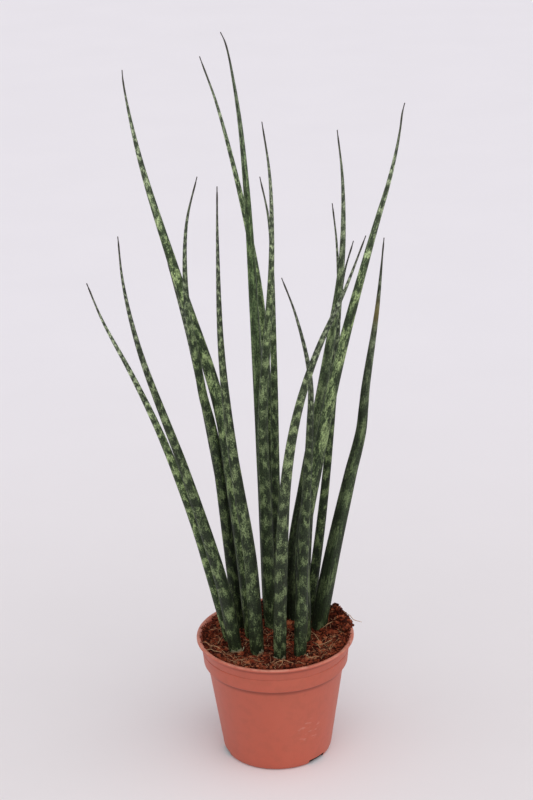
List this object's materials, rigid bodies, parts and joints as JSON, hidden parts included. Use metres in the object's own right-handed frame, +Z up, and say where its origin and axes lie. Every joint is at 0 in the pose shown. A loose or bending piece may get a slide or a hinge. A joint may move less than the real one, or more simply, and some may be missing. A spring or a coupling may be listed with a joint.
{
  "type": "potted mikado snake plant",
  "caption": "Snake plant with tall, pointed, cylindrical mottled leaves standing in coir soil in a terracotta-coloured plastic nursery pot",
  "frame": {"origin": "centre of the pot's underside, where the pot stands on a surface", "axes": "+Z up along the pot's axis and the plant's height, -Y towards the front seen in the picture, +X to the right"},
  "size_m": [0.2251, 0.1483, 0.547],
  "materials": {
    "pot_plastic": "satin",
    "soil": "matte",
    "leaf": "satin"
  },
  "bodies": {
    "root": {"pot": "pot_plastic", "soil": "soil", "leaf_01": "leaf", "leaf_02": "leaf", "leaf_03": "leaf", "leaf_04": "leaf", "leaf_05": "leaf", "leaf_06": "leaf", "leaf_07": "leaf", "leaf_08": "leaf", "leaf_09": "leaf", "leaf_10": "leaf", "leaf_11": "leaf", "leaf_12": "leaf", "leaf_13": "leaf", "leaf_14": "leaf", "leaf_15": "leaf", "leaf_16": "leaf", "leaf_17": "leaf"}
  },
  "joints": []
}
